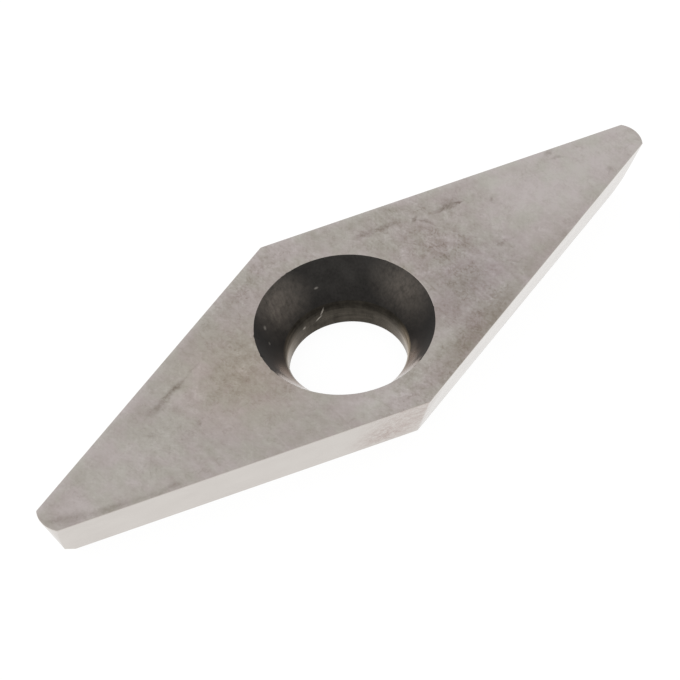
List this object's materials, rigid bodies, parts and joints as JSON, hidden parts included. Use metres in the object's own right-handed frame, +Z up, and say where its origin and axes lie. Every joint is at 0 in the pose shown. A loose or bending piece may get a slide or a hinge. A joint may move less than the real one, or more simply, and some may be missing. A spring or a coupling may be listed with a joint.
{
  "type": "carbide insert",
  "caption": "Diamond-shaped indexable carbide cutting insert with relieved flanks, rounded noses and a countersunk screw hole.",
  "frame": {"origin": "screw hole's axis at the seating face, which is the smaller face, opposite the countersink", "axes": "+X through one nose along the long diagonal, +Y through a wide corner, +Z up through the hole to the rake face"},
  "size_m": [0.028, 0.01, 0.0025],
  "materials": {
    "ground_carbide": "fine ground faces and flanks, dark as-sintered screw hole"
  },
  "bodies": {
    "root": {"carbide_insert": "ground_carbide"}
  },
  "joints": []
}
